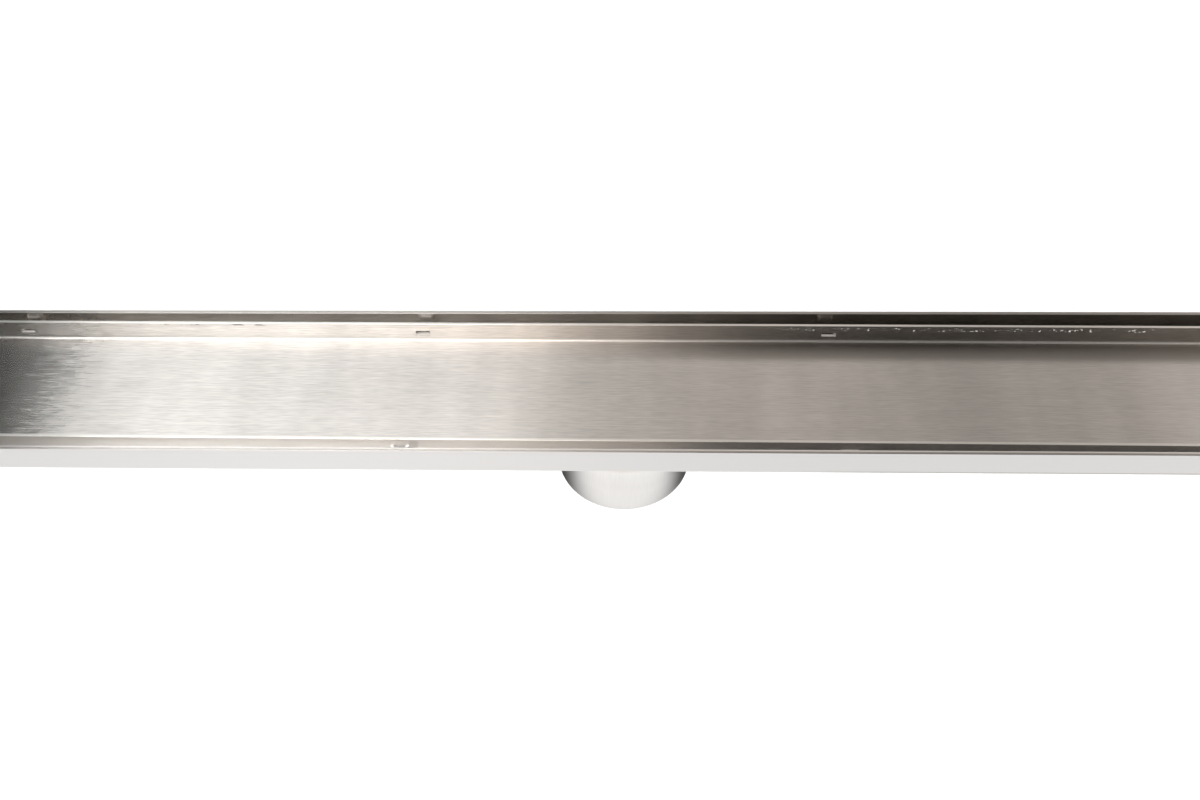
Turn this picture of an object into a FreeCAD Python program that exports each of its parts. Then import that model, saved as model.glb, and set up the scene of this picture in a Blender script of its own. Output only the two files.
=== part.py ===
# Tile-insert channel drain for a shower floor, in millimetres.
#
# A folded channel with two upright walls and a floor that falls to its middle line, closed at both
# ends by welded plates, with a round outlet spigot under its middle. A shallow tray for a tile lies
# loose in the channel, on small pads.
#
# X runs along the channel, Y across it and Z up. The origin is the centre of the spigot's lower end.

import FreeCAD, Part
import math
import os

ARRIS = 0.2                   # radius of the deburred edges of the sheets

# Channel
CHANNEL_LENGTH = 609.6        # over the end plates
CHANNEL_WIDTH = 66.0          # over the walls
CHANNEL_SHEET = 1.5
CHANNEL_BEND = 0.6            # inside radius of the folds
FLOOR_SLOPE = 7.4             # degrees, from each wall down to the middle line
END_PLATE_SHEET = 1.5

# Outlet
SPIGOT_DIAMETER = 50.8        # outside
SPIGOT_WALL = 1.5
SPIGOT_REACH = 30.0           # below the lowest line of the floor
NECK_DEPTH = 3.0              # drawn down out of the floor, to where the spigot is welded on
NECK_BEND = 1.0               # inside radius of the bend from the floor into the neck
FLAT_BY_FOLD = 0.05           # least flat floor left between that bend and a wall's fold
BEAD_WIDTH = 2.4              # weld bead round the joint of neck and spigot
BEAD_HEIGHT = 0.4

# Tray
TRAY_SHEET = 1.2
TRAY_BEND = 0.8               # inside radius of the folds
TRAY_DEPTH = 8.1              # from the rim down to the face that the tile lies on
RIM_RECESS = 0.6              # the rim lies this far below the top of the channel
END_GAP = 4.0                 # between the tray and each end plate
DRAIN_GAP = 1.3               # under the tray's sides, for the water to pass
CORNER_SEAM = 0.3             # open seam beside each end wall of the tray
CORNER_RELIEF = 1.5           # radius of the relief hole at the foot of each seam

# Spacers lanced out of the tray's long walls
SPACER_PITCH = 152.4
SPACER_END_MARGIN = 30.0      # no spacer stands nearer than this to the tray's end
SPACER_REACH = 1.8            # from the wall's outer face to the crown
SPACER_CROWN = 4.6            # width of the flat crown
SPACER_SHEET = 0.9            # the sheet is drawn thinner here
SPACER_CREASE = 0.25          # inside radius of the creases
WINDOW_WIDTH = 5.3
WINDOW_HEIGHT = 1.9
WINDOW_DEPTH = 3.55           # from the rim down to the upper edge of the window

# How the loose tray lies
TRAY_PLAY = 2.1               # free way on each side, between a spacer's crown and the channel wall
TRAY_SHIFT = 0.36             # towards the front
SEAT_GAP = 0.85               # left where the foremost spacer comes nearest to the wall

# Pads under the tray
PAD_SIDE = 9.0                # square, where the pad is stuck to the tray
PAD_TIP_SIDE = 7.6            # at the level of the lowest line of the floor
PAD_INSET = 8.0               # from the tray's side to the pad's centre

# Sizes that follow
SLOPE_RISE = math.tan(math.radians(FLOOR_SLOPE))
SHEET_UPRIGHT = CHANNEL_SHEET / math.cos(math.radians(FLOOR_SLOPE))
SIDE_GAP = SPACER_REACH + TRAY_PLAY
TRAY_WIDTH = CHANNEL_WIDTH - 2 * (CHANNEL_SHEET + SIDE_GAP)
TRAY_LENGTH = CHANNEL_LENGTH - 2 * (END_PLATE_SHEET + END_GAP)
FLOOR_FALL = SLOPE_RISE * CHANNEL_WIDTH / 2
UNDER_TRAY = RIM_RECESS + TRAY_DEPTH + TRAY_SHEET
SIDE_FALL = SLOPE_RISE * (CHANNEL_SHEET + SIDE_GAP)
WALL_HEIGHT = UNDER_TRAY + DRAIN_GAP + SHEET_UPRIGHT - SIDE_FALL
BODY_LENGTH = CHANNEL_LENGTH - 2 * END_PLATE_SHEET
SPIGOT_BORE_R = SPIGOT_DIAMETER / 2 - SPIGOT_WALL
SPIGOT_LENGTH = SPIGOT_REACH - NECK_DEPTH

# Levels
FLOOR_LOW_Z = SPIGOT_REACH
CORNER_Z = FLOOR_LOW_Z + FLOOR_FALL
TOP_Z = CORNER_Z + WALL_HEIGHT
RIM_Z = TOP_Z - RIM_RECESS
TILE_Z = RIM_Z - TRAY_DEPTH
TRAY_UNDER_Z = TILE_Z - TRAY_SHEET


def in_cross_section(across, up):
    return FreeCAD.Vector(0, across, up)


def in_long_section(along, up):
    return FreeCAD.Vector(along, 0, up)


def in_plan(along, across):
    return FreeCAD.Vector(along, across, 0)


def rounded_face(corners, place):
    """Face inside a closed outline of (u, v, radius) corners, each rounded by a tangent arc."""
    points = [place(u, v) for u, v, radius in corners]
    edges = []
    ends = []
    for index, corner in enumerate(points):
        radius = corners[index][2]
        if not radius:
            ends.append((corner, corner))
            continue
        back = (points[index - 1] - corner).normalize()
        ahead = (points[(index + 1) % len(points)] - corner).normalize()
        turn = math.pi - back.getAngle(ahead)
        run = radius * math.tan(turn / 2)
        enter = corner + back * run
        leave = corner + ahead * run
        depth = radius / math.cos(turn / 2) - radius
        middle = corner + (back + ahead).normalize() * depth
        edges.append(Part.Arc(enter, middle, leave).toShape())
        ends.append((enter, leave))
    for this, following in zip(ends, ends[1:] + ends[:1]):
        edges.append(Part.makeLine(this[1], following[0]))
    return Part.Face(Part.Wire(Part.__sortEdges__(edges)))


def offset_corners(points, distance):
    """The corners of a line moved sideways to its left by a distance."""
    def left(a, b):
        run = math.hypot(b[0] - a[0], b[1] - a[1])
        return (a[1] - b[1]) / run, (b[0] - a[0]) / run

    normals = [left(a, b) for a, b in zip(points, points[1:])]
    moved = []
    for index, (u, v) in enumerate(points):
        n1 = normals[max(index - 1, 0)]
        n2 = normals[min(index, len(normals) - 1)]
        scale = distance / (1 + n1[0] * n2[0] + n1[1] * n2[1])
        moved.append((u + (n1[0] + n2[0]) * scale, v + (n1[1] + n2[1]) * scale))
    return moved


def folded_face(outer, sheet, inside_radius, edge_radius, place):
    """Section of a folded sheet: outer corners in order, with the sheet on their left."""
    def with_radii(points, fold_radius):
        radii = [edge_radius] + [fold_radius] * (len(points) - 2) + [edge_radius]
        return [(u, v, radius) for (u, v), radius in zip(points, radii)]

    inner = offset_corners(outer, sheet)
    outline = with_radii(outer, inside_radius + sheet)
    outline += reversed(with_radii(inner, inside_radius))
    return rounded_face(outline, place)


def prism(face, start, sweep):
    """A face moved to its start and swept along a vector."""
    face.translate(start)
    return face.extrude(sweep)


def along_x(face, length):
    return prism(face, FreeCAD.Vector(-length / 2, 0, 0), FreeCAD.Vector(length, 0, 0))


def box_between(low, high):
    size = [b - a for a, b in zip(low, high)]
    return Part.makeBox(size[0], size[1], size[2], FreeCAD.Vector(*low))


def channel_corners():
    half = CHANNEL_WIDTH / 2
    return [(-half, TOP_Z), (-half, CORNER_Z), (0, FLOOR_LOW_Z), (half, CORNER_Z), (half, TOP_Z)]


def filled_channel_face():
    """The whole area inside the channel's outer outline."""
    fold = CHANNEL_BEND + CHANNEL_SHEET
    radii = [0, fold, fold, fold, 0]
    outline = [(u, v, radius) for (u, v), radius in zip(channel_corners(), radii)]
    return rounded_face(outline, in_cross_section)


def below_floor():
    """Everything under the upper face of the channel's floor."""
    half = CHANNEL_WIDTH / 2
    points = [(-half, CORNER_Z + SHEET_UPRIGHT), (0, FLOOR_LOW_Z + SHEET_UPRIGHT),
              (half, CORNER_Z + SHEET_UPRIGHT), (half, 0), (-half, 0)]
    corners = [in_cross_section(u, v) for u, v in points]
    face = Part.Face(Part.makePolygon(corners + corners[:1]))
    return along_x(face, CHANNEL_LENGTH)


def make_bead():
    """Ring with a low crown, whose middle lies on the joint of neck and spigot."""
    radius = SPIGOT_DIAMETER / 2
    foot = in_long_section(radius, SPIGOT_LENGTH - BEAD_WIDTH / 2)
    crown = in_long_section(radius + BEAD_HEIGHT, SPIGOT_LENGTH)
    head = in_long_section(radius, SPIGOT_LENGTH + BEAD_WIDTH / 2)
    edges = [Part.Arc(foot, crown, head).toShape(), Part.makeLine(head, foot)]
    ring = Part.Face(Part.Wire(edges))
    return ring.revolve(FreeCAD.Vector(0, 0, 0), FreeCAD.Vector(0, 0, 1), 360)


def rim_edges(shape, radius, above):
    """Edges that run round the Z axis at a radius, above a level."""
    def runs_round(edge):
        marks = edge.discretize(5)
        on_radius = all(abs(math.hypot(p.x, p.y) - radius) < 0.01 for p in marks)
        return on_radius and min(p.z for p in marks) > above
    return [edge for edge in shape.Edges if runs_round(edge)]


def bend_beside_fold(radius, neck_radius, wall_y, fold_radius):
    """The radius of a bend round the neck, less where a wall's fold stands too near."""
    run = math.tan(math.radians(90 - FLOOR_SLOPE) / 2)
    room = wall_y - fold_radius * run - neck_radius - FLAT_BY_FOLD
    return min(radius, room / run)


def make_channel_body():
    """Folded sheet, with a round neck drawn down out of its floor for the outlet."""
    face = folded_face(channel_corners(), CHANNEL_SHEET, CHANNEL_BEND, ARRIS, in_cross_section)
    above_joint = Part.makeCylinder(SPIGOT_DIAMETER, TOP_Z, FreeCAD.Vector(0, 0, SPIGOT_LENGTH))
    neck = Part.makeCylinder(SPIGOT_DIAMETER / 2, TOP_Z, FreeCAD.Vector(0, 0, SPIGOT_LENGTH))
    bore = Part.makeCylinder(SPIGOT_BORE_R, TOP_Z)
    bead = make_bead().common(above_joint)
    body = along_x(face, BODY_LENGTH).fuse([neck.common(below_floor()), bead])
    body = body.cut(bore).removeSplitter()
    over_bead = SPIGOT_LENGTH + BEAD_WIDTH / 2
    outer_fold = CHANNEL_BEND + CHANNEL_SHEET
    under = bend_beside_fold(NECK_BEND, SPIGOT_DIAMETER / 2, CHANNEL_WIDTH / 2, outer_fold)
    under_rim = rim_edges(body, SPIGOT_DIAMETER / 2, over_bead + NECK_BEND / 2)
    body = body.makeFillet(under, under_rim)
    inner_wall = CHANNEL_WIDTH / 2 - CHANNEL_SHEET
    over = bend_beside_fold(NECK_BEND + CHANNEL_SHEET, SPIGOT_BORE_R, inner_wall, CHANNEL_BEND)
    return body.makeFillet(over, rim_edges(body, SPIGOT_BORE_R, SPIGOT_LENGTH))


def make_end_plate(side):
    """Flat plate with the channel's outline; side is -1 for the left end and 1 for the right."""
    start = side * BODY_LENGTH / 2
    return prism(filled_channel_face(), FreeCAD.Vector(start, 0, 0),
                 FreeCAD.Vector(side * END_PLATE_SHEET, 0, 0))


def make_spigot():
    """Plain tube, butt-welded to the lower edge of the neck."""
    outside = Part.makeCylinder(SPIGOT_DIAMETER / 2, SPIGOT_LENGTH)
    below_joint = Part.makeCylinder(SPIGOT_DIAMETER, SPIGOT_LENGTH)
    tube = outside.fuse(make_bead().common(below_joint))
    return tube.cut(Part.makeCylinder(SPIGOT_BORE_R, SPIGOT_LENGTH))


def tray_corners(span):
    half = span / 2
    return [(-half, RIM_Z), (-half, TRAY_UNDER_Z), (half, TRAY_UNDER_Z), (half, RIM_Z)]


def make_folded_pan():
    """Floor and long walls, with the end walls folded up between them."""
    fold = TRAY_BEND + TRAY_SHEET
    flap_width = TRAY_WIDTH - 2 * (TRAY_SHEET + CORNER_SEAM)
    across = folded_face(tray_corners(TRAY_WIDTH), TRAY_SHEET, TRAY_BEND, ARRIS, in_cross_section)
    trough = along_x(across, TRAY_LENGTH)
    along = folded_face(tray_corners(TRAY_LENGTH), TRAY_SHEET, TRAY_BEND, ARRIS, in_long_section)
    flaps = prism(along, FreeCAD.Vector(0, -flap_width / 2, 0), FreeCAD.Vector(0, flap_width, 0))
    inner_y = TRAY_WIDTH / 2 - fold
    for side in (-1, 1):
        ends = sorted((side * TRAY_LENGTH / 2, side * (TRAY_LENGTH / 2 - fold)))
        notch = box_between((ends[0], -inner_y, TRAY_UNDER_Z), (ends[1], inner_y, RIM_Z))
        trough = trough.cut(notch)
    pan = trough.fuse(flaps)
    for x in (-1, 1):
        for y in (-1, 1):
            centre = FreeCAD.Vector(x * (TRAY_LENGTH / 2 - fold), y * inner_y, TRAY_UNDER_Z)
            pan = pan.cut(Part.makeCylinder(CORNER_RELIEF, fold, centre))
    return pan.removeSplitter()


def spacer_places():
    """Places of the spacers along a wall, evenly about the middle."""
    room = TRAY_LENGTH - 2 * SPACER_END_MARGIN
    count = int(room / SPACER_PITCH) + 1
    return [(index - (count - 1) / 2) * SPACER_PITCH for index in range(count)]


def make_spacer():
    """Strip beside a wall face at Y = 0, pushed out to +Y from a window in the sheet."""
    root = WINDOW_WIDTH / 2 + SPACER_SHEET * 0.7
    sunk = -TRAY_SHEET / 4
    crown = SPACER_CROWN / 2
    outline = [(root, sunk), (crown, SPACER_REACH), (-crown, SPACER_REACH), (-root, sunk)]
    face = folded_face(outline, SPACER_SHEET, SPACER_CREASE, 0, in_plan)
    low = RIM_Z - WINDOW_DEPTH - WINDOW_HEIGHT
    return prism(face, FreeCAD.Vector(0, 0, low), FreeCAD.Vector(0, 0, WINDOW_HEIGHT))


def make_window():
    low = RIM_Z - WINDOW_DEPTH - WINDOW_HEIGHT
    half = WINDOW_WIDTH / 2
    return box_between((-half, -2 * TRAY_SHEET, low), (half, 0, low + WINDOW_HEIGHT))


def on_long_wall(shape, side, along):
    """A copy of a shape made beside Y = 0, set on the outer face of a long wall."""
    copy = shape.copy()
    if side < 0:
        copy.rotate(FreeCAD.Vector(0, 0, 0), FreeCAD.Vector(0, 0, 1), 180)
    copy.translate(FreeCAD.Vector(along, side * TRAY_WIDTH / 2, 0))
    return copy


def lay_in_channel(shape):
    """Turn and shift from the channel's middle line to where the loose tray lies."""
    arm = max(spacer_places()[-1], SPACER_PITCH / 2)
    turn = math.degrees(math.atan((TRAY_PLAY - SEAT_GAP - TRAY_SHIFT) / arm))
    shape.rotate(FreeCAD.Vector(0, 0, 0), FreeCAD.Vector(0, 0, 1), -turn)
    shape.translate(FreeCAD.Vector(0, -TRAY_SHIFT, 0))
    return shape


def make_tray():
    pan = make_folded_pan()
    places = [(side, along) for side in (-1, 1) for along in spacer_places()]
    pan = pan.cut(Part.makeCompound([on_long_wall(make_window(), *place) for place in places]))
    pan = pan.fuse([on_long_wall(make_spacer(), *place) for place in places])
    return lay_in_channel(pan)


def make_pad(side, along):
    """Tapered square pad stuck under the tray, cut to the slope that it stands on."""
    tip = PAD_TIP_SIDE / 2
    root = PAD_SIDE / 2
    pad = Part.makeWedge(-tip, FLOOR_LOW_Z, -tip, -root, -root, tip, TRAY_UNDER_Z, tip, root, root)
    pad.rotate(FreeCAD.Vector(0, 0, 0), FreeCAD.Vector(1, 0, 0), 90)
    pad.translate(FreeCAD.Vector(along, side * (TRAY_WIDTH / 2 - PAD_INSET), 0))
    return lay_in_channel(pad).cut(below_floor())


def main():
    os.makedirs("parts", exist_ok=True)
    nodes = {
        "channel_body": make_channel_body(),
        "end_plate_left": make_end_plate(-1),
        "end_plate_right": make_end_plate(1),
        "outlet_spigot": make_spigot(),
        "tile_tray": make_tray(),
    }
    pad_places = [(side, along) for side in (-1, 1) for along in spacer_places()]
    for number, place in enumerate(pad_places, 1):
        nodes[f"tray_pad_{number}"] = make_pad(*place)
    for name, shape in nodes.items():
        shape.exportStep(f"parts/{name}.step")
        box = shape.optimalBoundingBox()
        print(name, len(shape.Solids), "solids,", round(shape.Volume, 1), "mm3, X",
              round(box.XMin, 2), round(box.XMax, 2), "Y", round(box.YMin, 2),
              round(box.YMax, 2), "Z", round(box.ZMin, 2), round(box.ZMax, 2))


main()
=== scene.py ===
"""Looks of a tile-insert channel drain: brushed stainless steel and rubber pads.

Everything is in metres, in the frame of the drain: X along the channel, Y across it and Z up, with
the origin at the centre of the spigot's lower end.
"""

import math

import bpy
from mathutils import Matrix, Vector


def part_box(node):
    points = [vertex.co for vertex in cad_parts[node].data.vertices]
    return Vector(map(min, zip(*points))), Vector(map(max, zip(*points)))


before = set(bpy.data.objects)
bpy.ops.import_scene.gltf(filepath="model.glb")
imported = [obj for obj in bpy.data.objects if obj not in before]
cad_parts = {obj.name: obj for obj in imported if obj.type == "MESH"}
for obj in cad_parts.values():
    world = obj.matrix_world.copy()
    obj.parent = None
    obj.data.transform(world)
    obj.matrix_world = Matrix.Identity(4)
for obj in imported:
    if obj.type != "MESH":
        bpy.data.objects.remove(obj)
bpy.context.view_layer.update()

MM = 0.001

# Places that the frame gives
CHANNEL_LOW, CHANNEL_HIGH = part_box("channel_body")
_, TRAY_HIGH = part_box("tile_tray")
_, SPIGOT_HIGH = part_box("outlet_spigot")
TOP_Z = CHANNEL_HIGH.z
RIM_Z = TRAY_HIGH.z
WELD_Z = SPIGOT_HIGH.z            # joint of neck and spigot

# Lengths of the solids
CHANNEL_WALL = 12.01 * MM         # height of the channel's walls, with their lower bends
TRAY_DEPTH = 8.1 * MM             # from the tray's rim to its floor
TRAY_WIDTH = 55.2 * MM
SPACER_PITCH = 152.4 * MM
SPIGOT_RADIUS = 25.4 * MM
TILE_Z = RIM_Z - TRAY_DEPTH       # where the tile lies in the tray
BEND_LOW_Z = TOP_Z - CHANNEL_WALL    # lower corner of the channel's walls

# How the loose tray lies in the channel
TRAY_TURN = math.radians(0.223)
TRAY_SHIFT = 0.36 * MM            # towards the front

# Brushed grain, in layers of noise: the share of each, and its scale along each axis
GRAIN_LAYERS = (
    (0.6, (170, 2600, 2600)),     # fine scratches
    (0.28, (30, 2000, 2000)),     # longer strokes
    (0.12, (6, 500, 500)),        # broad streaks
)
GRAIN_DARK, GRAIN_LIGHT = 0.8, 1.18     # times the base colour
GRAIN_FADES = (-120 * MM, 60 * MM)      # its contrast falls over this stretch of X
GRAIN_CONTRAST = (2.5, 1.4)             # from the first to the second
GRAIN_CALM = (-230 * MM, -205 * MM)     # it is quieter to the left of this
CALM_SHARE = 0.8
GRAIN_FINER = (-222 * MM, -199 * MM)    # and glossier to the left of this
FINER_SHARE = 0.66
FINER_RAGGED = 30 * MM                  # how far the streaks shift that limit
GRAIN_BUMP = 0.04
BRUSHED_ROUGH = 0.29          # much glossier steel loses its grain to the denoiser
CLOUD_SCALE = (60, 14, 14)
CLOUD_AMOUNT = 0.3

# Weld bead between neck and spigot
BEAD_REACH = 1.0 * MM         # how far it stands out of the tube
BEAD_HALF = 1.1 * MM          # half its height
TINT_HALF = 1.5 * MM
RIPPLES = 90                  # round the tube
RIPPLE_LAG = 1.2 * MM         # from the middle, for one radian
RIPPLE_HEIGHT = 4.0

# The photographer's camera
PICTURE_WIDTH = 1200
FOCAL_PIXELS = 933.33
SENSOR_WIDTH = 36.0
CAMERA_PLACE = (0.456 * MM, -216.98 * MM, TOP_Z + 249.494 * MM)
CAMERA_PITCH = 50.369         # degrees below the level
CAMERA_YAW = -2.428           # degrees, to the right of straight ahead
CAMERA_ROLL = -1.626

# Studio
SOFTBOX_Z = 1.0
SOFTBOX_SPAN = (-1.5, 2.2)    # along X
FLOOR_HALF = 6.0              # half the side of the floor
FLOOR_GLOW = 1.25             # of the floor that the steel mirrors
FLOOR_SHADOW = 0.1            # and of its shadow under the drain
WORLD_GLOW = 0.045            # what the world adds to the light
BACKDROP_GLOW = 1.0           # and what the camera sees of it


# Node helpers

class Shader:
    """A node tree with short calls to add nodes and links."""

    def __init__(self, tree):
        self.tree = tree

    def node(self, kind, settings=None, **inputs):
        """Adds a node; inputs are values or sockets, by name or by input_0, input_1 and so on."""
        made = self.tree.nodes.new(kind)
        for name, value in (settings or {}).items():
            setattr(made, name, value)
        for name, value in inputs.items():
            key = int(name[6:]) if name.startswith("input_") else name.replace("_", " ")
            self.feed(made.inputs[key], value)
        return made

    def feed(self, socket, value):
        if isinstance(value, bpy.types.NodeSocket):
            self.tree.links.new(value, socket)
        else:
            socket.default_value = value

    def math(self, operation, a, b=0.0, clamp=False):
        settings = {"operation": operation, "use_clamp": clamp}
        return self.node("ShaderNodeMath", settings, input_0=a, input_1=b).outputs[0]

    def band(self, value, from_min, from_max, to_min=0.0, to_max=1.0):
        """Smooth step of a value between two limits."""
        made = self.node("ShaderNodeMapRange", {"interpolation_type": "SMOOTHSTEP"}, Value=value)
        for name, number in zip(("From Min", "From Max", "To Min", "To Max"),
                                (from_min, from_max, to_min, to_max)):
            self.feed(made.inputs[name], number)
        return made.outputs["Result"]

    def within(self, value, low, high, soft):
        """1 between two limits, with soft ends outside them."""
        return self.both(self.band(value, low - soft, low),
                         self.band(value, high, high + soft, 1.0, 0.0))

    def both(self, a, b):
        """The product: a value times a number, or 1 where two masks are 1."""
        return self.math("MULTIPLY", a, b)

    def stretched(self, vector, scale):
        """The vector scaled along each axis."""
        return self.node("ShaderNodeMapping", Vector=vector, Scale=scale).outputs["Vector"]

    def noise(self, vector, scale=1.0, detail=2.0):
        made = self.node("ShaderNodeTexNoise", Vector=vector, Scale=scale, Detail=detail)
        return made.outputs["Fac"]

    def mix(self, kind, factor, a, b):
        """From a to b by the factor; the kind is FLOAT or RGBA."""
        made = self.node("ShaderNodeMix", {"data_type": kind})
        for name, value in (("Factor", factor), ("A", a), ("B", b)):
            self.feed(made.inputs[name], value)
        return made.outputs["Result"]

    def axes(self, vector):
        """The three numbers of a vector, each a socket."""
        split = self.node("ShaderNodeSeparateXYZ", Vector=vector)
        return [split.outputs[axis] for axis in "XYZ"]


def rgb(red, green, blue):
    return (red, green, blue, 1.0)


def new_material(name):
    material = bpy.data.materials.new(name)
    material.use_nodes = True
    material.node_tree.nodes.clear()
    return material, Shader(material.node_tree)


def new_group(name, inputs, outputs):
    """A shader node group, whose sockets are given by name and kind."""
    tree = bpy.data.node_groups.new(name, "ShaderNodeTree")
    for in_out, sockets in (("INPUT", inputs), ("OUTPUT", outputs)):
        for label, kind in sockets.items():
            tree.interface.new_socket(label, in_out=in_out, socket_type=kind)
    shader = Shader(tree)
    return tree, shader, shader.node("NodeGroupInput").outputs, shader.node("NodeGroupOutput")


FLOAT = "NodeSocketFloat"
VECTOR = "NodeSocketVector"


def make_grain_group():
    """Brushed grain: noise drawn out along X, in three layers."""
    tree, s, inputs, output = new_group(
        "brushed grain", {"Vector": VECTOR, "Contrast": FLOAT}, {"Streaks": FLOAT, "Height": FLOAT})
    hair, stroke, broad = (
        s.both(s.noise(s.stretched(inputs["Vector"], scale), detail=1.0), share)
        for share, scale in GRAIN_LAYERS)
    mixed = s.math("ADD", s.math("ADD", hair, stroke), broad)
    centred = s.math("SUBTRACT", mixed, 0.5)
    streaks = s.math("ADD", s.both(centred, inputs["Contrast"]), 0.5, clamp=True)
    s.feed(output.inputs["Streaks"], streaks)
    s.feed(output.inputs["Height"], mixed)
    return tree


def make_cloud_group():
    """Soft patches left by polishing, drawn out across the sheet; about 1, more or less."""
    tree, s, inputs, output = new_group(
        "polish clouds", {"Vector": VECTOR, "Amount": FLOAT}, {"Shade": FLOAT})
    patches = s.noise(s.stretched(inputs["Vector"], CLOUD_SCALE), detail=2.0)
    swing = s.both(s.math("SUBTRACT", patches, 0.5), inputs["Amount"])
    s.feed(output.inputs["Shade"], s.math("ADD", 1.0, swing))
    return tree


def make_weld_group():
    """Weld bead round the neck: where it is, its heat tint, and its ripples round the Z axis."""
    tree, s, inputs, output = new_group(
        "weld bead", {"Vector": VECTOR}, {"Bead": FLOAT, "Tint": FLOAT, "Height": FLOAT})
    x, y, z = s.axes(inputs["Vector"])
    out = s.math("SQRT", s.math("ADD", s.both(x, x), s.both(y, y)))
    bead_out = SPIGOT_RADIUS + BEAD_REACH
    near = s.within(out, SPIGOT_RADIUS + 0.05 * MM, bead_out, 0.05 * MM)
    bead = s.both(near, s.within(z, WELD_Z - BEAD_HALF, WELD_Z + BEAD_HALF, 0.1 * MM))
    tint = s.both(s.within(out, SPIGOT_RADIUS - 0.5 * MM, bead_out, 1.0 * MM),
                  s.within(z, WELD_Z - TINT_HALF, WELD_Z + TINT_HALF, 2.5 * MM))
    turn = s.math("ARCTAN2", y, x)
    lag = s.both(s.math("ABSOLUTE", s.math("SUBTRACT", z, WELD_Z)), 1.0 / RIPPLE_LAG)
    phase = s.math("ADD", s.both(turn, RIPPLES), lag)
    s.feed(output.inputs["Bead"], bead)
    s.feed(output.inputs["Tint"], tint)
    s.feed(output.inputs["Height"], s.both(bead, s.math("SINE", phase)))
    return tree


GRAIN = make_grain_group()
CLOUDS = make_cloud_group()
WELD = make_weld_group()


class Steel:
    """Brushed stainless steel, built up from a base look to the finished material.

    The sheen is drawn out at right angles to the vector along, which is the way the sheet was
    brushed. The grain's own X is turned to it by grain_turn.
    """

    def __init__(self, name, base, along=(1.0, 0.01, 0.01), contrast=GRAIN_CONTRAST,
                 grain_turn=(0.0, 0.0, 0.0)):
        self.material, self.s = new_material(name)
        s = self.s
        self.along = along
        self.place = s.node("ShaderNodeTexCoord").outputs["Object"]
        x = s.axes(self.place)[0]
        turned = s.node("ShaderNodeMapping", Vector=self.place,
                        Rotation=grain_turn).outputs["Vector"]
        calm = s.band(x, *GRAIN_CALM, CALM_SHARE, 1.0)
        grain = s.node("ShaderNodeGroup", {"node_tree": GRAIN}, Vector=turned,
                       Contrast=s.both(calm, s.band(x, *GRAIN_FADES, *contrast)))
        streaks = grain.outputs["Streaks"]
        clouds = s.node("ShaderNodeGroup", {"node_tree": CLOUDS}, Vector=turned,
                        Amount=CLOUD_AMOUNT)
        dark = rgb(*(GRAIN_DARK * c for c in base))
        light = rgb(*(min(1.0, GRAIN_LIGHT * c) for c in base))
        grained = s.mix("RGBA", streaks, dark, light)
        self.colour = s.node("ShaderNodeVectorMath", {"operation": "SCALE"}, input_0=grained,
                             Scale=clouds.outputs["Shade"]).outputs["Vector"]
        ragged = s.math("ADD", x, s.both(s.math("SUBTRACT", streaks, 0.5), FINER_RAGGED))
        finer = s.band(ragged, *GRAIN_FINER, FINER_SHARE, 1.0)
        self.roughness = s.both(
            s.band(streaks, 0.0, 1.0, BRUSHED_ROUGH + 0.01, BRUSHED_ROUGH - 0.01), finer)
        self.anisotropy = 1.0
        self.metallic = 1.0
        self.height = grain.outputs["Height"]

    def coat_with(self, mask, base, **finish):
        """Another colour where the mask is 1, and another roughness, anisotropy or metallic."""
        self.colour = self.s.mix("RGBA", mask, self.colour, rgb(*base))
        for name, value in finish.items():
            self.set_where(mask, name, value)

    def set_where(self, mask, name, value):
        """Another roughness, anisotropy or metallic where the mask is 1."""
        setattr(self, name, self.s.mix("FLOAT", mask, getattr(self, name), value))

    def weld(self):
        """The bead round the neck, rippled and tinted by its heat."""
        s = self.s
        group = s.node("ShaderNodeGroup", {"node_tree": WELD}, Vector=self.place).outputs
        self.coat_with(s.both(group["Tint"], 0.6), HEAT_TINT)
        self.coat_with(group["Bead"], BEAD, roughness=0.3, anisotropy=0.0)
        self.height = s.math("ADD", self.height, s.both(group["Height"], RIPPLE_HEIGHT))

    def above(self, level):
        """1 above a level, such as on the cut edge at the top of a sheet."""
        z = self.s.axes(self.place)[2]
        return self.s.band(z, level - 0.15 * MM, level - 0.05 * MM)

    def finish(self):
        """The material, with all its coats."""
        s = self.s
        bump = s.node("ShaderNodeBump", Strength=GRAIN_BUMP, Distance=0.02 * MM,
                      Height=self.height)
        facing = s.node("ShaderNodeNewGeometry").outputs["True Normal"]
        tangent = s.node("ShaderNodeVectorMath", {"operation": "CROSS_PRODUCT"},
                         input_0=facing, input_1=self.along).outputs["Vector"]
        steel = s.node("ShaderNodeBsdfPrincipled", Base_Color=self.colour,
                       Roughness=self.roughness, Metallic=self.metallic,
                       Anisotropic=self.anisotropy, Normal=bump.outputs["Normal"],
                       Tangent=tangent)
        s.node("ShaderNodeOutputMaterial", Surface=steel.outputs["BSDF"])
        return self.material


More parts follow.
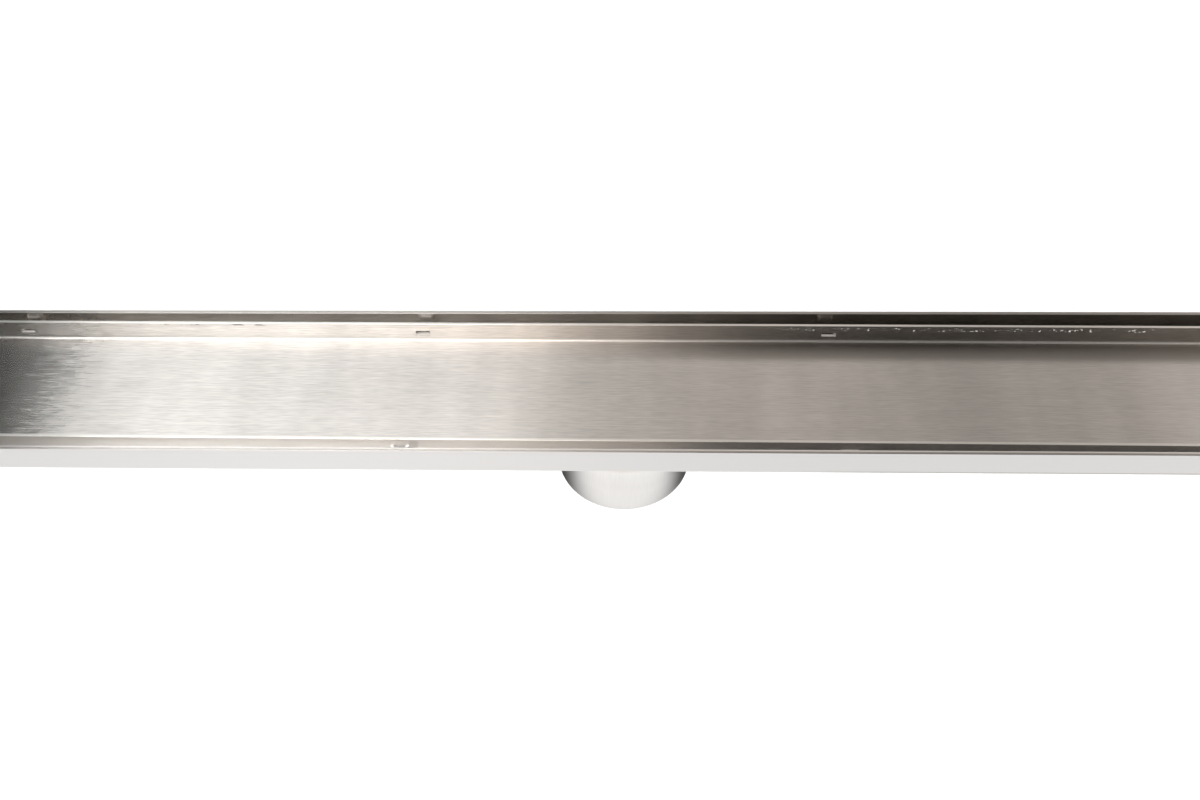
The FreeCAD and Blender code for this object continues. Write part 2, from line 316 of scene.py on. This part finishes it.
# Base colours
INSIDE = (0.7, 0.68, 0.65)        # brushed sheet of the channel and the tray
PLATE = (0.68, 0.66, 0.63)
TUBE = (0.69, 0.68, 0.67)
RUBBER = (0.035, 0.035, 0.036)
HEAT_TINT = (0.6, 0.5, 0.36)
BEAD = (0.62, 0.58, 0.52)
SHEARED_AND_HIGHLIGHT = (0.88, 0.86, 0.82)      # the smooth half of a cut edge; on the tray's inner bends, a painted highlight
TORN_AND_SHADE = (0.52, 0.5, 0.475)         # and its dull half; as painted shade, on the channel's lower front bend and on the front spacers at the right
PLAIN_SHEET = (0.72, 0.715, 0.71)
# Painted light: a brighter colour for the faces in the front gap, standing in for light that
# reaches them
GAP_PAINTED_LIGHT = (1.0, 0.985, 0.96)
DRAWN = (0.95, 0.93, 0.9)
GAP_SHADE = (0.48, 0.455, 0.425)   # painted shade on the inner face of the channel's rear wall, at the right
REAR_WALL_SHADE = (0.35, 0.33, 0.305)        # painted shade on the tray's floor by its rear wall, where the wall's dark reflection falls
DARK = (0.03, 0.027, 0.024)       # painted shade in the hollows of the spacers
PALE_SPOT = (0.6, 0.58, 0.54)         # pale matt spots on the rear wall of the tray
SMEAR = (0.1, 0.09, 0.08)         # dark smears under its rim

# Where some of them lie along X: FROM fades in from its first place to its second
GAP_SHADE_FROM = (-10 * MM, 90 * MM)
LOWER_BEND_SHADE_FROM = (50 * MM, 90 * MM)
REAR_WALL_SHADE_FROM = (-40 * MM, 75 * MM)
FRONT_LIGHT_FADES_FROM = (0.0, 40 * MM)
SPACER_SHADE_FROM = (0.0, 20 * MM)
REAR_WALL_SHADE_SHARE = 0.75
PALE_SPOT_STRETCH = (62 * MM, 196 * MM)
SMEAR_STRETCH = (-196 * MM, -136 * MM)


def channel_steel():
    """Brushed inside, plain outside, with cut edges along the top."""
    steel = Steel("brushed channel steel", INSIDE)
    s = steel.s
    along, across, level = s.axes(steel.place)
    off_middle = s.math("ABSOLUTE", across)
    half = CHANNEL_HIGH.y
    # Painted light: the inner face of the front wall gets a brighter colour than the sheet,
    # standing in for light in the gap.
    front_gap = s.band(across, -TRAY_WIDTH / 2 - 1.0 * MM, -TRAY_WIDTH / 2 - 2.0 * MM)
    steel.coat_with(front_gap, GAP_PAINTED_LIGHT, roughness=0.28)
    rear_gap = s.band(across, TRAY_WIDTH / 2 + 2.0 * MM, TRAY_WIDTH / 2 + 3.0 * MM)
    steel.set_where(rear_gap, "roughness", 0.18)
    # Painted shade: the rear wall's inner face is darker towards the right.
    steel.coat_with(s.both(rear_gap, s.band(along, *GAP_SHADE_FROM)), GAP_SHADE)
    outside = s.band(off_middle, half - 0.8 * MM, half - 0.7 * MM)
    steel.coat_with(outside, PLAIN_SHEET, roughness=0.3)
    # Painted shade: the outside of the front wall's lower bend is darker towards the right.
    lower_bend_shade = s.both(s.within(across, -half, 1.2 * MM - half, 0.1 * MM),
                        s.band(level, BEND_LOW_Z + 1.7 * MM, BEND_LOW_Z + 2.0 * MM, 1.0, 0.0))
    steel.coat_with(s.both(lower_bend_shade, s.band(along, *LOWER_BEND_SHADE_FROM)), TORN_AND_SHADE)
    steel.weld()
    # Cut edge along the top: its own colour, and a lower metallic on its smooth half that brightens
    # its highlight line, partly a painted highlight.
    edge = steel.above(TOP_Z)
    steel.coat_with(edge, SHEARED_AND_HIGHLIGHT, roughness=0.28, metallic=0.9)
    torn_front = s.band(across, 0.7 * MM - half, 0.9 * MM - half, 1.0, 0.0)
    torn_back = s.band(across, 0.0, 1.0 * MM)
    torn = s.both(edge, s.math("MAXIMUM", torn_front, torn_back))
    steel.coat_with(torn, TORN_AND_SHADE, roughness=0.3, metallic=1.0)
    return steel.finish()


def tray_steel():
    """Brushed inside and plain outside, with cut edges along the rim and drawn spacers."""
    steel = Steel("brushed tray steel", INSIDE)
    s = steel.s
    in_tray = s.node("ShaderNodeMapping", Vector=steel.place, Location=(0, TRAY_SHIFT, 0),
                     Rotation=(0, 0, TRAY_TURN)).outputs["Vector"]
    along, across, level = s.axes(in_tray)
    off_middle = s.math("ABSOLUTE", across)
    half = TRAY_WIDTH / 2
    # Painted shade: the floor by the rear wall is darker towards the right, standing in for the
    # wall's dark reflection.
    by_rear_wall = s.within(across, half - 8.5 * MM, half - 4.0 * MM, 4.0 * MM)
    wall_shade = s.both(by_rear_wall, s.band(along, *REAR_WALL_SHADE_FROM, 0.0, REAR_WALL_SHADE_SHARE))
    on_floor = s.band(level, TILE_Z + 0.4 * MM, TILE_Z + 0.5 * MM, 1.0, 0.0)
    steel.coat_with(s.both(wall_shade, on_floor), REAR_WALL_SHADE)
    # Painted highlight: a brighter, partly non-metal coat along the inner bends of the tray.
    bends = s.both(s.within(level, TILE_Z + 0.1 * MM, TILE_Z + 0.8 * MM, 0.1 * MM),
                   s.within(off_middle, half - 2.1 * MM, half - 1.25 * MM, 0.1 * MM))
    steel.coat_with(bends, SHEARED_AND_HIGHLIGHT, roughness=0.3, metallic=0.93)
    # Painted light: the front outer face, seen in the front gap, is brighter at the left and fades
    # to the plain sheet's colour at the right.
    front_face = s.band(across, 0.35 * MM - half, 0.15 * MM - half)
    steel.coat_with(front_face, GAP_PAINTED_LIGHT, roughness=0.28)
    steel.coat_with(s.both(front_face, s.band(along, *FRONT_LIGHT_FADES_FROM)), PLAIN_SHEET)
    # Cut edge along the rim: its own colour, with a lower metallic that brightens its highlight
    # line, partly a painted highlight.
    steel.coat_with(steel.above(RIM_Z), SHEARED_AND_HIGHLIGHT, roughness=0.28, metallic=0.95)
    spacers = s.band(off_middle, half + 0.15 * MM, half + 0.3 * MM)
    steel.coat_with(spacers, DRAWN, roughness=0.5, anisotropy=0.0)
    in_front = s.band(across, -half - 0.15 * MM, -half - 0.3 * MM)
    steel.coat_with(in_front, DRAWN, metallic=0.65)
    # Painted shade: the front spacers are darker towards the right.
    spacer_shade = s.both(in_front, s.band(along, *SPACER_SHADE_FROM))
    steel.coat_with(spacer_shade, TORN_AND_SHADE, roughness=0.35, metallic=1.0)
    from_spacer = s.math("PINGPONG", s.math("ADD", along, SPACER_PITCH / 2), SPACER_PITCH / 2)
    # Painted shade: a dark colour in the hollows of the spacers.
    hollows = s.both(s.within(across, half + 0.15 * MM, half + 1.1 * MM, 0.1 * MM),
                     s.band(from_spacer, 2.0 * MM, 2.3 * MM, 1.0, 0.0))
    steel.coat_with(hollows, DARK, metallic=0.0)
    lips = s.both(s.within(level, RIM_Z - 5.5 * MM, RIM_Z - 5.4 * MM, 0.03 * MM),
                  s.within(across, half - 1.1 * MM, half - 0.1 * MM, 0.05 * MM))
    steel.coat_with(lips, SHEARED_AND_HIGHLIGHT, roughness=0.4, metallic=0.8)

    rear_wall = s.within(across, half - 1.3 * MM, half - 1.0 * MM, 0.1 * MM)
    pale_spots = s.band(s.noise(steel.place, scale=1200.0, detail=1.0), 0.64, 0.68)
    pale_spots = s.both(pale_spots, s.within(level, RIM_Z - 2.3 * MM, RIM_Z - 1.0 * MM, 0.3 * MM))
    pale_spots = s.both(pale_spots, s.within(along, *PALE_SPOT_STRETCH, 8 * MM))
    steel.coat_with(s.both(rear_wall, pale_spots), PALE_SPOT, roughness=0.7, metallic=0.0)
    smears = s.band(s.noise(s.stretched(steel.place, (150, 1, 900)), detail=2.0), 0.54, 0.58)
    smears = s.both(smears, s.within(level, RIM_Z - 0.9 * MM, RIM_Z - 0.5 * MM, 0.15 * MM))
    smears = s.both(smears, s.within(along, *SMEAR_STRETCH, 6 * MM))
    steel.coat_with(s.both(rear_wall, smears), SMEAR, roughness=0.6, metallic=0.0)
    return steel.finish()


def end_steel():
    """Plates brushed across the channel, with a cut edge along the top."""
    steel = Steel("brushed end plates", PLATE, along=(0.01, 1.0, 0.01),
                  grain_turn=(0.0, 0.0, math.pi / 2))
    steel.coat_with(steel.above(TOP_Z), SHEARED_AND_HIGHLIGHT, roughness=0.25)
    return steel.finish()


def spigot_steel():
    """Drawn tube with faint streaks along it."""
    steel = Steel("drawn spigot steel", TUBE, along=(0.01, 0.01, 1.0), contrast=(0.4, 0.4),
                  grain_turn=(0.0, math.pi / 2, 0.0))
    steel.weld()
    return steel.finish()


def pad_rubber():
    """Matt moulded rubber with a fine uneven bloom."""
    material, s = new_material("pad rubber")
    place = s.node("ShaderNodeTexCoord").outputs["Object"]
    bloom = s.noise(place, scale=900.0, detail=4.0)
    colour = s.mix("RGBA", bloom, rgb(*RUBBER), rgb(*(1.8 * c for c in RUBBER)))
    bump = s.node("ShaderNodeBump", Strength=0.2, Distance=0.05 * MM, Height=bloom)
    surface = s.node("ShaderNodeBsdfPrincipled", Base_Color=colour, Roughness=0.75,
                     Normal=bump.outputs["Normal"])
    s.node("ShaderNodeOutputMaterial", Surface=surface.outputs["BSDF"])
    return material


def wear(node, material):
    """Gives a node of the frame its material."""
    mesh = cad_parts[node].data
    mesh.materials.clear()
    mesh.materials.append(material)


def dress_nodes():
    ends = end_steel()
    pads = pad_rubber()
    wear("channel_body", channel_steel())
    wear("end_plate_left", ends)
    wear("end_plate_right", ends)
    wear("outlet_spigot", spigot_steel())
    wear("tile_tray", tray_steel())
    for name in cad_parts:
        if name.startswith("tray_pad"):
            wear(name, pads)


# Studio

def make_camera():
    """The photographer's camera, from its place, heading and roll."""
    pitch, yaw, roll = (math.radians(a) for a in (CAMERA_PITCH, CAMERA_YAW, CAMERA_ROLL))
    ahead = Vector((math.sin(yaw) * math.cos(pitch), math.cos(yaw) * math.cos(pitch),
                    -math.sin(pitch)))
    level = Vector((math.cos(yaw), -math.sin(yaw), 0.0))
    upright = level.cross(ahead)
    right = level * math.cos(roll) + upright * math.sin(roll)
    up = upright * math.cos(roll) - level * math.sin(roll)
    data = bpy.data.cameras.new("photo camera")
    data.lens = FOCAL_PIXELS * SENSOR_WIDTH / PICTURE_WIDTH
    data.sensor_width = SENSOR_WIDTH
    data.sensor_fit = "HORIZONTAL"
    data.clip_start = 0.01
    data.clip_end = 50.0
    camera = bpy.data.objects.new("photo camera", data)
    camera.matrix_world = Matrix.Translation(CAMERA_PLACE) @ Matrix(
        (right, up, -ahead)).transposed().to_4x4()
    bpy.context.scene.collection.objects.link(camera)
    bpy.context.scene.camera = camera


def flat_panel(name, centre, across, along, material):
    """Rectangle about a centre, spanned by two half-side vectors; its front is across x along."""
    c, u, v = (Vector(p) for p in (centre, across, along))
    mesh = bpy.data.meshes.new(name)
    mesh.from_pydata([c - u - v, c + u - v, c + u + v, c - u + v], [], [(0, 1, 2, 3)])
    mesh.materials.append(material)
    panel = bpy.data.objects.new(name, mesh)
    bpy.context.scene.collection.objects.link(panel)
    return panel


def mirrored_only(panel):
    """Lets glossy rays alone see a panel."""
    panel.visible_camera = False
    panel.visible_diffuse = False
    panel.visible_shadow = False


def make_floor():
    """White floor for the camera, and the floor that the steel mirrors, dark under the drain."""
    sides = ((FLOOR_HALF, 0, 0), (0, FLOOR_HALF, 0))
    white, s = new_material("pale floor")
    surface = s.node("ShaderNodeBsdfPrincipled", Base_Color=rgb(0.86, 0.86, 0.86), Roughness=0.9)
    surface.inputs["Specular IOR Level"].default_value = 0.0
    s.node("ShaderNodeOutputMaterial", Surface=surface.outputs["BSDF"])
    seen = flat_panel("floor", (0, 0, 0), *sides, white)
    seen.visible_glossy = False

    shaded, s = new_material("floor with the shadow of the drain")
    place = s.node("ShaderNodeTexCoord").outputs["Object"]
    across = s.axes(place)[1]
    in_front = s.band(across, CHANNEL_LOW.y, CHANNEL_LOW.y + 26 * MM, 1.0, 0.0)
    behind = s.band(across, CHANNEL_HIGH.y, CHANNEL_HIGH.y + 40 * MM)
    lit = s.math("MAXIMUM", in_front, behind)
    glow = s.band(lit, 0.0, 1.0, FLOOR_SHADOW, FLOOR_GLOW)
    lamp = s.node("ShaderNodeEmission", Color=rgb(1.0, 0.99, 0.98), Strength=glow)
    s.node("ShaderNodeOutputMaterial", Surface=lamp.outputs["Emission"])
    mirrored_only(flat_panel("mirrored floor", (0, 0, -0.2 * MM), *sides, shaded))


def make_softbox(name, depth, profile, tints, turn):
    """Glowing panel over the drain, whose brightness changes along X.

    It reaches from depth[0] to depth[1] along Y. The profile lists (x, brightness), which run
    smoothly from one to the next. The colour turns from the first tint to the second between the
    two places of turn.
    """
    material, s = new_material(name)
    place = s.node("ShaderNodeTexCoord").outputs["Object"]
    along = s.axes(place)[0]
    glow = profile[0][1]
    for (x0, _), (x1, brightness) in zip(profile, profile[1:]):
        step = s.band(along, x0, x1)
        glow = s.math("ADD", s.both(s.math("SUBTRACT", 1.0, step), glow), s.both(step, brightness))
    tint = s.mix("RGBA", s.band(along, *turn), *(rgb(*colour) for colour in tints))
    lamp = s.node("ShaderNodeEmission", Color=tint, Strength=glow)
    s.node("ShaderNodeOutputMaterial", Surface=lamp.outputs["Emission"])
    (left, right), (front, back) = SOFTBOX_SPAN, depth
    centre = ((left + right) / 2, (front + back) / 2, SOFTBOX_Z)
    sides = (((right - left) / 2, 0, 0), (0, -(back - front) / 2, 0))
    mirrored_only(flat_panel(name, centre, *sides, material))


def make_softboxes():
    """The lights that the steel mirrors, which give its bright and dark stretches."""
    make_softbox(
        "front softbox", depth=(-1.5, -0.12),
        profile=[(-0.91, 0.0), (-0.89, 5.0), (-0.81, 3.2), (-0.35, 3.1), (-0.2, 2.6),
                 (-0.04, 1.2), (0.13, 0.2), (0.4, 0.06), (0.8, 0.08), (1.1, 0.7)],
        tints=[(1.0, 0.99, 0.99), (1.0, 0.87, 0.79)], turn=(-0.7, 0.1))
    make_softbox(
        "top softbox", depth=(-0.1, 0.1),
        profile=[(-0.77, 0.0), (-0.75, 10.0), (-0.69, 8.0), (-0.25, 8.0), (0.0, 2.5), (0.2, 0.3),
                 (0.45, 0.15), (0.7, 0.6), (1.0, 1.5)],
        tints=[(1.0, 0.98, 0.975), (1.0, 0.93, 0.87)], turn=(-0.35, 0.2))
    make_softbox(
        "back softbox", depth=(0.25, 1.6),
        profile=[(-0.92, 0.035), (-0.9, 1.75), (-0.81, 0.98), (-0.7, 0.62), (-0.55, 0.6),
                 (-0.38, 0.58), (-0.21, 0.58), (-0.04, 0.56), (0.13, 0.66), (0.3, 0.84),
                 (0.6, 0.64), (0.8, 0.6), (1.05, 0.95)],
        tints=[(0.98, 1.0, 1.0), (1.0, 0.925, 0.87)], turn=(-0.35, 0.2))


def make_world():
    """Bright behind the drain for the camera, and dim for all else."""
    world = bpy.data.worlds.new("studio")
    world.use_nodes = True
    world.node_tree.nodes.clear()
    s = Shader(world.node_tree)
    seen = s.node("ShaderNodeLightPath").outputs["Is Camera Ray"]
    background = s.node("ShaderNodeBackground", Color=rgb(1.0, 0.98, 0.96),
                        Strength=s.band(seen, 0.0, 1.0, WORLD_GLOW, BACKDROP_GLOW))
    s.node("ShaderNodeOutputWorld", Surface=background.outputs["Background"])
    bpy.context.scene.world = world


def make_fill():
    """A soft sun from the camera's side, which the steel doesn't mirror."""
    sun = bpy.data.lights.new("fill by the camera", "SUN")
    sun.energy = 5.0
    sun.angle = math.radians(8)
    lamp = bpy.data.objects.new("fill by the camera", sun)
    lamp.rotation_euler = (math.radians(90 - CAMERA_PITCH), 0, 0)
    lamp.visible_glossy = False
    bpy.context.scene.collection.objects.link(lamp)


def main():
    bpy.context.scene.view_settings.view_transform = "Standard"
    bpy.context.scene.cycles.glossy_bounces = 12
    bpy.context.scene.cycles.max_bounces = 16
    make_camera()
    make_floor()
    make_world()
    make_softboxes()
    make_fill()
    dress_nodes()


main()
